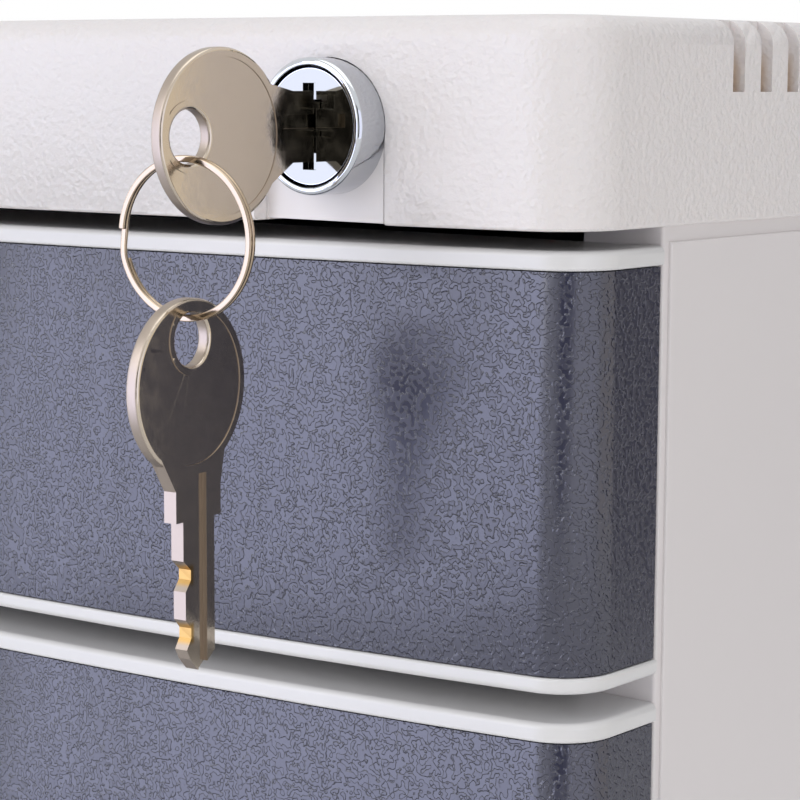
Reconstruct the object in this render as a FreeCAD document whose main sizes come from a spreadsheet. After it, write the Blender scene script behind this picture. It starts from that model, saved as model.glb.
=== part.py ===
import FreeCAD, Part
import os
import re

import Sketcher

# Desktop file drawer: a moulded plastic cabinet with five bow-fronted drawers, a cover that
# overhangs them, and one cam lock whose bar holds every drawer.
# Millimetres. X to the right, Y to the back, Z up. The origin is at the underside of the feet,
# midway across, and midway between the keys' foremost point and the back.

os.makedirs("parts", exist_ok=True)
doc = FreeCAD.newDocument("file_drawer")

DRAWERS = 5
NOTCHES = 5
WAFERS = 5
V = FreeCAD.Vector

# ---------------------------------------------------------------- driving dimensions
SIZES = {
    # cover
    "cover_width": 300.0, "cover_depth": 400.0, "cover_height": 27.15, "cover_wall": 2.5,
    "cover_bow": 918.0, "cover_corner": 9.9, "cover_edge": 3.5, "origin_shift": 15.0,
    "notch_first": 47.1, "notch_width": 3.0, "notch_pitch": 7.1, "notch_height": 9.7,
    "notch_depth": 2.6,
    # drawers
    "drawer_pitch": 61.47, "front_height": 57.63, "cover_gap": 2.53, "top_lip": 2.56,
    "bottom_lip": 2.22, "drawer_bow": 833.0, "drawer_setback": 1.05, "drawer_corner": 8.3,
    "drawer_inset": 0.56, "face_recess": 0.35, "face_wall": 2.0, "face_seam": 0.15,
    "lip_round": 0.9, "lip_inner_round": 0.4,
    "tray_wall": 2.0, "tray_clear": 6.0, "tray_rear_gap": 13.0, "tray_floor": 3.0,
    "tray_height": 50.5, "rim_reach": 4.5, "rim_thick": 2.0, "peg_radius": 3.0,
    "stop_reach": 4.5, "stop_back": 39.8, "catch_low": 20.0, "catch_height": 8.0, "catch_wall": 1.5,
    "catch_length": 14.0, "catch_gap": 1.0, "catch_clear": 0.6, "hook_clear": 0.5,
    # casing
    "panel_front": 32.4, "panel_wall": 2.0, "panel_raise": 0.5, "panel_inset": 0.54,
    "panel_round": 0.5, "field_round": 0.3, "panel_margin": 1.35, "panel_top_margin": 2.1,
    "flange_width": 13.2, "flange_wall": 1.7,
    "tongue_height": 8.0, "back_wall": 2.5, "side_cavity": 15.7, "runner_wall": 2.0,
    "runner_front": 41.0, "rib_first": 3.0, "rib_middle": 151.0, "rib_back": 61.5,
    "ledge_reach": 5.0, "ledge_thick": 2.0, "slide_gap": 0.2,
    "base_height": 14.0, "base_wall": 2.5, "foot_height": 4.0, "foot_radius": 9.0,
    "foot_inset": 24.0, "screw_radius": 1.6, "screw_head": 3.0,
    # lock
    "lock_side": 37.3, "lock_rise": 12.78, "pad_left": 49.2, "pad_right": 28.4,
    "pad_sink": 1.38209, "pad_lift": 0.25, "seam_width": 0.3, "seam_depth": 0.3,
    "bezel_radius": 9.0, "bezel_length": 5.25, "barrel_radius": 6.9,
    "barrel_length": 15.35, "plug_radius": 5.9, "plug_fit": 0.05, "head_radius": 7.6,
    "head_gap": 0.4, "slot_width": 2.3, "slot_height": 11.3, "keyway_height": 7.0,
    "ward_reach": 4.3, "upper_ward_place": 3.2, "upper_ward_height": 1.8,
    "lower_ward_place": 0.9, "lower_ward_height": 0.8,
    "tail_radius": 4.0, "cam_radius": 8.0, "cam_wall": 2.0, "pin_radius": 1.5,
    "bar_wall": 2.0, "bar_width": 6.0, "bar_play": 0.35,
    # keys and ring
    "key_wall": 1.9, "bow_radius": 11.1, "bow_hole": 3.4, "hole_edge": 5.2, "bow_drop": 1.0,
    "rim_width": 1.2, "rim_relief": 0.12, "boss_width": 1.1, "groove_depth": 0.6,
    "neck_half": 4.6, "neck_length": 7.0, "blade_half": 3.2, "blade_length": 19.2,
    "ring_mean": 9.9, "ring_radial": 0.9, "ring_axial": 1.2, "ring_play": 0.3, "ring_turn": 7.0,
}

# Sizes worked out from the ones above.
DERIVED = {
    "half_width": "cover_width / 2",
    "front_y": "origin_shift - cover_depth / 2",
    "back_y": "origin_shift + cover_depth / 2",
    "tray_back": "back_y - tray_rear_gap",
    "drawer_gap": "drawer_pitch - front_height",
    "base_top": "foot_height + base_height",
    "cover_z": "base_top + drawer_gap + %d * drawer_pitch + front_height + cover_gap"
               % (DRAWERS - 1),
    "top_z": "cover_z + cover_height",
    "panel_y": "front_y + panel_front",
    "drawer_half": "half_width - drawer_inset",
    "drawer_y": "front_y + drawer_setback",
    "drawer_rear": "panel_y - 0.3",
    "panel_out": "half_width - panel_inset",
    "panel_in": "panel_out - panel_raise - panel_wall",
    "runner_half": "half_width - side_cavity",
    "runner_out": "runner_half + runner_wall",
    "tray_half": "runner_half - tray_clear",
    "lock_x": "half_width - lock_side",
    "lock_z": "cover_z + lock_rise",
    "pad_depth": "pad_sink + lock_x ^ 2 / (2 * cover_bow)",
    "pad_y": "front_y + pad_depth",
    "bezel_y": "pad_y - bezel_length",
    "head_y": "bezel_y + 0.4",
    "plug_y": "pad_y + barrel_length",
    "bar_y": "panel_y + flange_wall + 0.9",
    "bar_x": "runner_out + 2.7",
    "cam_y": "bar_y - 3.2",
    "cam_rise": "cam_radius * sin(45 deg)",
    "pin_z": "lock_z + cam_rise",
    "hook_z": "base_top + drawer_gap + catch_low + 2 * cam_rise",
    "catch_tip": "panel_out - flange_width - catch_clear",
    "bow_y": "head_y - neck_length - sqrt(bow_radius ^ 2 - neck_half ^ 2)",
    "bow_z": "lock_z - bow_drop",
    "hole_y": "bow_y - bow_radius + hole_edge",
    "ring_top_z": "bow_z - bow_hole + ring_radial / 2 + ring_play",
    "ring_low_z": "ring_top_z - 2 * ring_mean",
    "spare_hole_z": "ring_low_z - bow_hole + ring_radial / 2 + ring_play",
}

sheet = doc.addObject("Spreadsheet::Sheet", "Sizes")


def named(expression):
    """The expression with every size name pointing at its cell in the sheet."""
    def point(match):
        word = match.group(0)
        return "Sizes." + word if word in SIZES or word in DERIVED else word
    return re.sub(r"[a-z]+(?:_[a-z]+)*", point, expression)


def fill_sheet():
    row = 1
    for name, value in SIZES.items():
        sheet.set("A%d" % row, name)
        sheet.set("B%d" % row, str(value))
        sheet.setAlias("B%d" % row, name)
        row += 1
    for name, formula in DERIVED.items():
        sheet.set("A%d" % row, name)
        sheet.set("B%d" % row, "=" + formula)
        sheet.setAlias("B%d" % row, name)
        row += 1
    doc.recompute()


fill_sheet()


def size(name):
    return float(sheet.get(name))


# ---------------------------------------------------------------- drawing helpers
BUILT = []
PLANES = {"z": "XY_Plane", "y": "XZ_Plane", "x": "YZ_Plane"}


def new_body(label):
    body = doc.addObject("PartDesign::Body", label)
    body.Label = label
    BUILT.append(body)
    return body


def new_sketch(body, along, start):
    """A sketch across the given axis, at the given coordinate on that axis.

    Across z its axes are X and Y, across y they are X and Z with the normal towards -Y,
    and across x they are Y and Z.
    """
    sketch = body.newObject("Sketcher::SketchObject", "Outline")
    plane = [f for f in body.Origin.OriginFeatures if f.Role == PLANES[along]][0]
    sketch.AttachmentSupport = [(plane, "")]
    sketch.MapMode = "FlatFace"
    sign = "-1 * " if along == "y" else ""
    sketch.setExpression("AttachmentOffset.Base.z", sign + "(" + named(start) + ")")
    return sketch


def bind(sketch, kind, *where):
    """Adds a driving constraint; the last item of where is its expression."""
    index = sketch.addConstraint(Sketcher.Constraint(kind, *where[:-1], 1.0))
    sketch.setExpression("Constraints[%d]" % index, named(where[-1]))
    return index


def place_point(sketch, item, end, across, up):
    bind(sketch, "DistanceX", -1, 1, item, end, across)
    bind(sketch, "DistanceY", -1, 1, item, end, up)


def draw_polygon(sketch, points):
    """Closed polygon; each point is a pair of expressions."""
    first = sketch.GeometryCount
    count = len(points)
    guess = [V(10 * i, (7 * i * i) % 11, 0) for i in range(count)]
    for i in range(count):
        sketch.addGeometry(Part.LineSegment(guess[i], guess[(i + 1) % count]), False)
    for i in range(count):
        after = first + (i + 1) % count
        sketch.addConstraint(Sketcher.Constraint("Coincident", first + i, 2, after, 1))
    for i, (across, up) in enumerate(points):
        place_point(sketch, first + i, 1, across, up)


def draw_rectangle(sketch, left, low, right, high):
    draw_polygon(sketch, [(left, low), (right, low), (right, high), (left, high)])


def draw_circle(sketch, across, up, radius):
    index = sketch.addGeometry(Part.Circle(V(0, 0, 0), V(0, 0, 1), 1.0), False)
    bind(sketch, "Radius", index, radius)
    place_point(sketch, index, 3, across, up)


def draw_bowed(sketch, half, front, back, bow, corner, *inward):
    """The plan of a bow-fronted box, drawn inward by the sizes named last.

    half, front, back, bow and corner are names in the sheet.
    """
    by = sum(size(name) for name in inward)
    h, f, k = size(half) - by, size(front) + by, size(back) - by
    r, c = size(bow) - by, size(corner) - by
    arc_centre = f + r
    rise = ((r - c) ** 2 - (h - c) ** 2) ** 0.5
    corner_y = arc_centre - rise
    meet = (h - c) * r / (r - c)
    meet_y = arc_centre - rise * r / (r - c)
    reach = Part.Arc(V(-meet, meet_y, 0), V(0, f, 0), V(meet, meet_y, 0))
    right = Part.Arc(V(meet, meet_y, 0), V(h - c + c * 0.75, corner_y - c * 0.66, 0),
                     V(h, corner_y, 0))
    left = Part.Arc(V(-h, corner_y, 0), V(-(h - c + c * 0.75), corner_y - c * 0.66, 0),
                    V(-meet, meet_y, 0))
    front_arc = sketch.addGeometry(reach, False)
    right_arc = sketch.addGeometry(right, False)
    side_right = sketch.addGeometry(Part.LineSegment(V(h, corner_y, 0), V(h, k, 0)), False)
    rear = sketch.addGeometry(Part.LineSegment(V(h, k, 0), V(-h, k, 0)), False)
    side_left = sketch.addGeometry(Part.LineSegment(V(-h, k, 0), V(-h, corner_y, 0)), False)
    left_arc = sketch.addGeometry(left, False)
    less = "".join(" - " + name for name in inward)
    add = sketch.addConstraint
    add(Sketcher.Constraint("Tangent", front_arc, 2, right_arc, 1))
    add(Sketcher.Constraint("Tangent", right_arc, 2, side_right, 1))
    add(Sketcher.Constraint("Coincident", side_right, 2, rear, 1))
    add(Sketcher.Constraint("Coincident", rear, 2, side_left, 1))
    add(Sketcher.Constraint("Tangent", side_left, 2, left_arc, 1))
    add(Sketcher.Constraint("Tangent", left_arc, 2, front_arc, 1))
    add(Sketcher.Constraint("Vertical", side_right))
    add(Sketcher.Constraint("Vertical", side_left))
    add(Sketcher.Constraint("Horizontal", rear))
    add(Sketcher.Constraint("PointOnObject", front_arc, 3, -2))
    bind_value(sketch, "Radius", front_arc, r, bow + less)
    bind_value(sketch, "Radius", right_arc, c, corner + less)
    bind_value(sketch, "Radius", left_arc, c, corner + less)
    index = add(Sketcher.Constraint("DistanceY", -1, 1, front_arc, 3, arc_centre))
    sketch.setExpression("Constraints[%d]" % index, named(front + " + " + bow))
    index = add(Sketcher.Constraint("DistanceX", -1, 1, rear, 1, h))
    sketch.setExpression("Constraints[%d]" % index, named(half + less))
    index = add(Sketcher.Constraint("DistanceX", rear, 2, -1, 1, h))
    sketch.setExpression("Constraints[%d]" % index, named(half + less))
    index = add(Sketcher.Constraint("DistanceY", -1, 1, rear, 1, k))
    sketch.setExpression("Constraints[%d]" % index, named(back + less))


def bind_value(sketch, kind, item, value, expression):
    index = sketch.addConstraint(Sketcher.Constraint(kind, item, value))
    sketch.setExpression("Constraints[%d]" % index, named(expression))


def span(along, low, high):
    """Where the sketch of a span starts: the normal across y points to the front."""
    return high if along == "y" else low


def grow(body, along, low, high, draw, *args):
    """Adds the drawn outline between two coordinates of an axis."""
    sketch = new_sketch(body, along, span(along, low, high))
    draw(sketch, *args)
    pad = body.newObject("PartDesign::Pad", "Pad")
    pad.Profile = sketch
    pad.setExpression("Length", named("(%s) - (%s)" % (high, low)))
    doc.recompute()
    return pad


def carve(body, along, low, high, draw, *args):
    """Cuts the drawn outline between two coordinates of an axis."""
    before = body.Shape.Volume
    sketch = new_sketch(body, along, span(along, low, high))
    draw(sketch, *args)
    pocket = body.newObject("PartDesign::Pocket", "Pocket")
    pocket.Profile = sketch
    pocket.Reversed = True
    pocket.setExpression("Length", named("(%s) - (%s)" % (high, low)))
    doc.recompute()
    if body.Shape.Volume > before - 1e-3:
        raise RuntimeError("a pocket of %s cuts nothing" % body.Label)
    return pocket


def repeat(body, feature, axis, count, step, backwards=False):
    """Repeats a feature along one of the body's own axes."""
    pattern = body.newObject("PartDesign::LinearPattern", "Row")
    pattern.Originals = [feature]
    line = [f for f in body.Origin.OriginFeatures if f.Role == axis][0]
    pattern.Direction = (line, [""])
    pattern.Reversed = backwards
    pattern.Occurrences = count
    pattern.setExpression("Length", named("%d * (%s)" % (count - 1, step)))
    body.Tip = pattern
    doc.recompute()
    return pattern


def round_edges(body, radius, wanted):
    """Fillets the edges of the body's last feature whose middle passes the test."""
    tip = body.Tip
    names = []
    for i, edge in enumerate(tip.Shape.Edges):
        middle = edge.valueAt((edge.FirstParameter + edge.LastParameter) / 2)
        if wanted(edge, middle):
            names.append("Edge%d" % (i + 1))
    if not names:
        raise RuntimeError("no edges of %s to round" % body.Label)
    fillet = body.newObject("PartDesign::Fillet", "Fillet")
    fillet.Base = (tip, names)
    fillet.setExpression("Radius", named(radius))
    doc.recompute()
    return fillet


def is_circle(edge, radius):
    return hasattr(edge.Curve, "Radius") and abs(edge.Curve.Radius - radius) < 0.01


def is_upright(edge):
    ends = [v.Point for v in edge.Vertexes]
    if len(ends) < 2:
        return False
    return abs(ends[0].x - ends[1].x) < 1e-6 and abs(ends[0].y - ends[1].y) < 1e-6


# ---------------------------------------------------------------- cover
def top_cover():
    body = new_body("top_cover")
    plan = ("half_width", "front_y", "back_y", "cover_bow", "cover_corner")
    grow(body, "z", "cover_z", "top_z", draw_bowed, *plan)
    top = size("top_z")
    half, back = size("half_width"), size("back_y")
    round_edges(body, "cover_corner - 2",
                lambda e, m: is_upright(e) and abs(abs(m.x) - half) < 0.01 and m.y > back - 0.01)
    round_edges(body, "cover_edge", lambda e, m: abs(m.z - top) < 0.01)
    bottom = size("cover_z")
    round_edges(body, "0.5", lambda e, m: abs(m.z - bottom) < 0.01)
    carve(body, "z", "cover_z", "top_z - cover_wall", draw_bowed, *plan, "cover_wall")
    # thick places inside the walls, behind the grip notches and behind the lock's flat pad
    notch_end = "front_y + notch_first + %d * notch_pitch + 4" % (NOTCHES - 1)
    for side in ("1", "-1"):
        grow(body, "z", "top_z - notch_height - 4", "top_z - cover_wall + 0.5", draw_rectangle,
             side + " * (half_width - notch_depth - cover_wall)", "front_y + notch_first - 3",
             side + " * (half_width - cover_wall + 0.5)", notch_end)
    for left, right, front in (("half_width - pad_left - 2", "lock_x", "pad_y - 1"),
                               ("lock_x", "half_width - pad_right + 2", "pad_y + 0.8")):
        grow(body, "z", "cover_z", "top_z - cover_wall + 0.5", draw_rectangle,
             left, front, right, "pad_y + 4.5")
    # grip notches, open through the rounded top edge
    for side, low, high in (("right", "half_width - notch_depth", "half_width + 1"),
                            ("left", "-half_width - 1", "-half_width + notch_depth")):
        notch = carve(body, "x", low, high, draw_rectangle,
                      "front_y + notch_first", "top_z - notch_height",
                      "front_y + notch_first + notch_width", "top_z + 1")
        repeat(body, notch, "Y_Axis", NOTCHES, "notch_pitch")
    # flat pad under and behind the lock's bezel, with a fine groove along its right edge and
    # its lower edge raised a little, and the hole for the barrel
    carve(body, "y", "front_y - 1", "pad_y", draw_rectangle,
          "half_width - pad_left", "cover_z - 1", "half_width - pad_right", "lock_z")
    carve(body, "y", "front_y - 1", "pad_y + seam_depth", draw_rectangle,
          "half_width - pad_right - seam_width", "cover_z - 1", "half_width - pad_right",
          "lock_z")
    carve(body, "y", "front_y - 1", "pad_y + 4.6", draw_rectangle,
          "half_width - pad_left", "cover_z - 1", "half_width - pad_right", "cover_z + pad_lift")
    carve(body, "y", "front_y - 1", "pad_y", draw_circle,
          "lock_x", "lock_z", "bezel_radius + 0.05")
    carve(body, "y", "pad_y - 1", "pad_y + 5", draw_circle,
          "lock_x", "lock_z", "barrel_radius + 0.3")
    return body


# ---------------------------------------------------------------- casing
def side_panel(label, side):
    """Outer wall with a raised field, a flange facing forward and a tongue inside the cover."""
    body = new_body(label)
    grow(body, "z", "base_top", "cover_z", draw_rectangle,
         side + " * panel_in", "panel_y", side + " * (panel_out - panel_raise)",
         "back_y - back_wall")
    wall, front = size("panel_out") - size("panel_raise"), size("panel_y")
    round_edges(body, "panel_round",
                lambda e, m: abs(abs(m.x) - wall) < 0.01 and abs(m.y - front) < 0.01)
    grow(body, "z", "base_top", "cover_z", draw_rectangle,
         side + " * (half_width - flange_width - 0.5)", "panel_y", side + " * (panel_in + 0.5)",
         "panel_y + flange_wall")
    grow(body, "z", "cover_z - 1", "cover_z + tongue_height", draw_rectangle,
         side + " * (half_width - flange_width - 0.5)", "panel_y",
         side + " * (half_width - cover_wall - 0.4)", "panel_y + flange_wall")
    low, high = ("panel_out - panel_raise - 0.5", "panel_out")
    if side == "-1":
        low, high = ("-panel_out", "-panel_out + panel_raise + 0.5")
    grow(body, "x", low, high, draw_rectangle,
         "panel_y + panel_margin", "base_top + panel_margin",
         "back_y - back_wall - panel_margin", "cover_z - panel_top_margin")
    field = size("panel_out")
    round_edges(body, "field_round", lambda e, m: abs(abs(m.x) - field) < 0.01)
    return body


def runner_wall(label, side):
    """Inner wall with a pair of ledges for each drawer, a stop, and ribs to the side panel."""
    body = new_body(label)
    front = "front_y + runner_front"
    back = "back_y - back_wall - 4"
    grow(body, "z", "base_top", "cover_z - 3", draw_rectangle,
         side + " * runner_half", front, side + " * runner_out", back)
    for place in (front + " + rib_first", front + " + rib_middle", back + " - rib_back"):
        grow(body, "z", "base_top", "cover_z - 3", draw_rectangle,
             side + " * (runner_out - 0.5)", place, side + " * panel_in", place + " + 2")
    rim_low = "base_top + drawer_gap + tray_height - rim_thick"
    ledges = (
        (rim_low + " - slide_gap - ledge_thick", rim_low + " - slide_gap"),
        (rim_low + " + rim_thick + 0.6", rim_low + " + rim_thick + 0.6 + ledge_thick"),
    )
    for low, high in ledges:
        ledge = grow(body, "z", low, high, draw_rectangle,
                     side + " * (runner_half - ledge_reach)", front,
                     side + " * (runner_half + 0.5)", back)
        repeat(body, ledge, "Z_Axis", DRAWERS, "drawer_pitch")
    stop = grow(body, "z", "base_top + drawer_gap + 36", "base_top + drawer_gap + 44",
                draw_rectangle, side + " * (runner_half - ledge_reach)", front + " + 3",
                side + " * (runner_half + 0.5)", front + " + 6")
    repeat(body, stop, "Z_Axis", DRAWERS, "drawer_pitch")
    return body


def base_panel():
    """Shallow tray turned over: it closes the casing below and carries the feet."""
    body = new_body("base_panel")
    plan = ("drawer_half", "drawer_y", "back_y", "drawer_bow", "drawer_corner")
    grow(body, "z", "foot_height", "base_top", draw_bowed, *plan)
    carve(body, "z", "foot_height", "base_top - base_wall", draw_bowed, *plan, "base_wall")
    for x in ("half_width - foot_inset", "-half_width + foot_inset"):
        for y in ("front_y + 2 * foot_inset", "back_y - foot_inset"):
            grow(body, "z", "foot_height", "base_top - base_wall + 0.5", draw_circle,
                 x, y, "foot_radius - 1.5")
    return body


def back_panel():
    body = new_body("back_panel")
    grow(body, "y", "back_y - back_wall", "back_y", draw_rectangle,
         "-panel_out", "base_top", "panel_out", "cover_z")
    carve(body, "y", "back_y - 0.8", "back_y + 1", draw_rectangle,
          "-panel_out + 14", "base_top + 14", "panel_out - 14", "cover_z - 14")
    for x in ("-panel_out + 7", "panel_out - 7"):
        for z in ("base_top + 9", "(base_top + cover_z) / 2", "cover_z - 9"):
            carve(body, "y", "back_y - back_wall - 1", "back_y + 1", draw_circle,
                  x, z, "screw_radius + 0.3")
    return body


def group(label, solids):
    """One node made of several equal pieces that don't touch."""
    node = doc.addObject("Part::Compound", label)
    node.Label = label
    node.Links = solids
    BUILT.append(node)
    doc.recompute()
    return node


def set_place(item, x, y, z):
    item.setExpression("Placement.Base.x", named(x))
    item.setExpression("Placement.Base.y", named(y))
    item.setExpression("Placement.Base.z", named(z))


def turned_cylinder(x, y, z, radius, length):
    """Cylinder whose axis points to the front, from y towards -Y."""
    item = doc.addObject("Part::Cylinder", "Round")
    item.Placement = FreeCAD.Placement(V(0, 0, 0), FreeCAD.Rotation(V(1, 0, 0), 90))
    item.setExpression("Radius", named(radius))
    item.setExpression("Height", named(length))
    set_place(item, x, y, z)
    return item


def rubber_feet():
    feet = []
    for x in ("half_width - foot_inset", "-half_width + foot_inset"):
        for y in ("front_y + 2 * foot_inset", "back_y - foot_inset"):
            foot = doc.addObject("Part::Cone", "Foot")
            foot.setExpression("Radius1", named("foot_radius - 0.6"))
            foot.setExpression("Radius2", named("foot_radius"))
            foot.setExpression("Height", named("foot_height"))
            set_place(foot, x, y, "0")
            feet.append(foot)
    return group("rubber_feet", feet)


def back_screws():
    """Six pan-head screws through the back panel into the side panels' rear edges."""
    screws = []
    for x in ("-panel_out + 7", "panel_out - 7"):
        for z in ("base_top + 9", "(base_top + cover_z) / 2", "cover_z - 9"):
            shank = turned_cylinder(x, "back_y + 0.2", z, "screw_radius", "back_wall + 3")
            head = turned_cylinder(x, "back_y + 1.3", z, "screw_head", "1.3")
            screw = doc.addObject("Part::MultiFuse", "Screw")
            screw.Shapes = [shank, head]
            screws.append(screw)
    return group("back_screws", screws)


# ---------------------------------------------------------------- drawers
def on_lip(level):
    """Tells the outer edges of a lip at a height: its front, its corners and its two ends."""
    wall, end = size("drawer_rear") - size("tray_wall") - 0.1, size("drawer_half")
    return lambda e, m: abs(m.z - level) < 0.01 and (m.y < wall or abs(abs(m.x) - end) < 0.01)


def drawer_tray(number):
    """White moulding: tray, front wall, the two lips, runner rims and rear stops.

    It is drawn with its underside at the height of the lower lip's underside.
    """
    body = new_body("drawer_%d_tray" % number)
    plan = ("drawer_half", "drawer_y", "drawer_rear", "drawer_bow", "drawer_corner")
    grow(body, "z", "0", "bottom_lip", draw_bowed, *plan)
    grow(body, "z", "front_height - top_lip", "front_height", draw_bowed, *plan)
    inner = "(drawer_half - face_recess - face_wall - 0.2)"
    grow(body, "z", "bottom_lip - 0.5", "front_height - top_lip + 0.5", draw_rectangle,
         "-" + inner, "drawer_rear - tray_wall", inner, "drawer_rear")
    top = size("front_height")
    for level, radius in ((0, "lip_round"), (size("bottom_lip"), "lip_inner_round"),
                          (top - size("top_lip"), "lip_inner_round"), (top, "lip_round")):
        round_edges(body, radius, on_lip(level))
    grow(body, "z", "tray_floor", "tray_height", draw_rectangle,
         "-tray_half", "drawer_rear - 0.5", "tray_half", "tray_back")
    carve(body, "z", "tray_floor + tray_wall", "tray_height + 1", draw_rectangle,
          "-tray_half + tray_wall", "drawer_rear", "tray_half - tray_wall",
          "tray_back - tray_wall")
    for side in ("1", "-1"):
        edge = side + " * (tray_half - 0.5)"
        grow(body, "z", "tray_height - rim_thick", "tray_height", draw_rectangle, edge,
             "drawer_rear + 12", side + " * (tray_half + rim_reach)", "tray_back")
        grow(body, "z", "36", "44", draw_rectangle, edge, "tray_back - stop_back",
             side + " * (tray_half + stop_reach)", "tray_back - stop_back + 4")
    set_place(body, "0", "0",
              "base_top + drawer_gap + %d * drawer_pitch" % (DRAWERS - number))
    return body


def drawer_catch(number):
    """Steel angle on the tray's right side; the bar's hook drops in front of its short leg."""
    body = new_body("drawer_%d_catch" % number)
    front = "bar_y + bar_wall + catch_gap"
    grow(body, "z", "catch_low", "catch_low + catch_height", draw_rectangle, "tray_half",
         front, "tray_half + catch_wall", front + " + catch_length")
    grow(body, "z", "catch_low", "catch_low + catch_height", draw_rectangle, "tray_half",
         front, "catch_tip", front + " + catch_wall")
    set_place(body, "0", "0",
              "base_top + drawer_gap + %d * drawer_pitch" % (DRAWERS - number))
    return body


def drawer_face(number):
    """Dark skin wrapped round the drawer front, standing on pegs against the front wall."""
    body = new_body("drawer_%d_face" % number)
    low, high = "bottom_lip + face_seam", "front_height - top_lip - face_seam"
    plan = ("drawer_half", "drawer_y", "drawer_rear", "drawer_bow", "drawer_corner")
    grow(body, "z", low, high, draw_bowed, *plan, "face_recess")
    carve(body, "z", low + " - 1", high + " + 1", draw_bowed, *plan, "face_recess", "face_wall")
    rear = "drawer_rear - face_recess - face_wall"
    carve(body, "z", low + " - 1", high + " + 1", draw_rectangle,
          "-drawer_half + face_recess + face_wall", rear + " - 3",
          "drawer_half - face_recess - face_wall", "drawer_rear + 2")
    for x in ("-100", "0", "100"):
        skin = "drawer_y + face_recess + face_wall / 2 + (%s) ^ 2 / (2 * drawer_bow)" % x
        grow(body, "y", skin, "drawer_rear - tray_wall", draw_circle, x, "front_height / 2",
             "peg_radius")
    set_place(body, "0", "0",
              "base_top + drawer_gap + %d * drawer_pitch" % (DRAWERS - number))
    return body


# ---------------------------------------------------------------- lock
def lock_housing():
    """Bezel standing on the cover's pad, with the barrel behind it that the plug turns in."""
    body = new_body("lock_housing")
    axis = ("lock_x", "lock_z")
    grow(body, "y", "bezel_y", "pad_y", draw_circle, *axis, "bezel_radius")
    front = size("bezel_y")
    round_edges(body, "0.7", lambda e, m: abs(m.y - front) < 0.01)
    grow(body, "y", "pad_y - 0.5", "plug_y", draw_circle, *axis, "barrel_radius")
    carve(body, "y", "bezel_y - 1", "head_y + 1.6", draw_circle, *axis,
          "head_radius + head_gap")
    recess = size("head_radius") + size("head_gap")
    round_edges(body, "0.2", lambda e, m: is_circle(e, recess) and abs(m.y - front) < 0.01)
    carve(body, "y", "head_y", "plug_y + 1", draw_circle, *axis, "plug_radius + plug_fit")
    return body


def lock_nut():
    """Hexagon nut on the barrel, behind the cover's wall."""
    body = new_body("lock_nut")
    flat = "(barrel_radius + 2.6)"
    corner = "(2 * %s / sqrt(3))" % flat
    points = []
    for across, up in ((1, 0), (0.5, 1), (-0.5, 1), (-1, 0), (-0.5, -1), (0.5, -1)):
        points.append(("lock_x + %g * %s" % (across, corner), "lock_z + %g * %s" % (up, flat)))
    grow(body, "y", "pad_y + 4.5", "pad_y + 7.5", draw_polygon, points)
    carve(body, "y", "pad_y + 4", "pad_y + 8", draw_circle, "lock_x", "lock_z",
          "barrel_radius + 0.05")
    return body


def lock_plug():
    """Turning core: a polished head with the stepped key slot, and the tail for the cam."""
    body = new_body("lock_plug")
    axis = ("lock_x", "lock_z")
    grow(body, "y", "head_y", "head_y + 1.5", draw_circle, *axis, "head_radius")
    grow(body, "y", "head_y + 1", "plug_y", draw_circle, *axis, "plug_radius")
    grow(body, "y", "plug_y - 0.5", "cam_y + cam_wall", draw_circle, *axis, "tail_radius")
    carve(body, "y", "head_y - 1", "head_y + 1.1", draw_rectangle,
          "lock_x - slot_width / 2", "lock_z - slot_height / 2",
          "lock_x + slot_width / 2", "lock_z + slot_height / 2")
    for place, height in (("upper_ward_place", "upper_ward_height"),
                          ("-lower_ward_place", "lower_ward_height")):
        carve(body, "y", "head_y - 1", "head_y + 1.1", draw_rectangle,
              "lock_x - ward_reach", "lock_z + %s - %s / 2" % (place, height),
              "lock_x + ward_reach", "lock_z + %s + %s / 2" % (place, height))
    carve(body, "y", "head_y", "plug_y - 0.8", draw_rectangle,
          "lock_x - slot_width / 2", "lock_z - keyway_height / 2",
          "lock_x + slot_width / 2", "lock_z + keyway_height / 2")
    seat = carve(body, "y", "head_y + 3", "head_y + 4", draw_rectangle,
                 "lock_x - slot_width / 2 - 0.8", "lock_z - plug_radius + 0.7",
                 "lock_x + slot_width / 2 + 0.8", "lock_z + plug_radius - 0.7")
    repeat(body, seat, "Y_Axis", WAFERS, "2.6")
    return body


def lock_wafers():
    """Flat tumblers across the plug, each with a window that the blade passes through."""
    wafers = []
    for i in range(WAFERS):
        plate = doc.addObject("Part::Box", "Plate")
        plate.setExpression("Length", named("slot_width + 1.2"))
        plate.setExpression("Width", "0.8")
        plate.setExpression("Height", named("2 * plug_radius - 1.8"))
        set_place(plate, "lock_x - slot_width / 2 - 0.6", "head_y + 3.1 + %g" % (2.6 * i),
                  "lock_z - plug_radius + 0.9")
        window = doc.addObject("Part::Box", "Window")
        window.setExpression("Length", named("slot_width - 0.1"))
        window.setExpression("Width", "2")
        window.setExpression("Height", named("keyway_height + 0.3"))
        set_place(window, "lock_x - slot_width / 2 + 0.05", "head_y + 2.5 + %g" % (2.6 * i),
                  "lock_z - keyway_height / 2 - 0.15")
        wafer = doc.addObject("Part::Cut", "Wafer")
        wafer.Base = plate
        wafer.Tool = window
        wafers.append(wafer)
    return group("lock_wafers", wafers)


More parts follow.
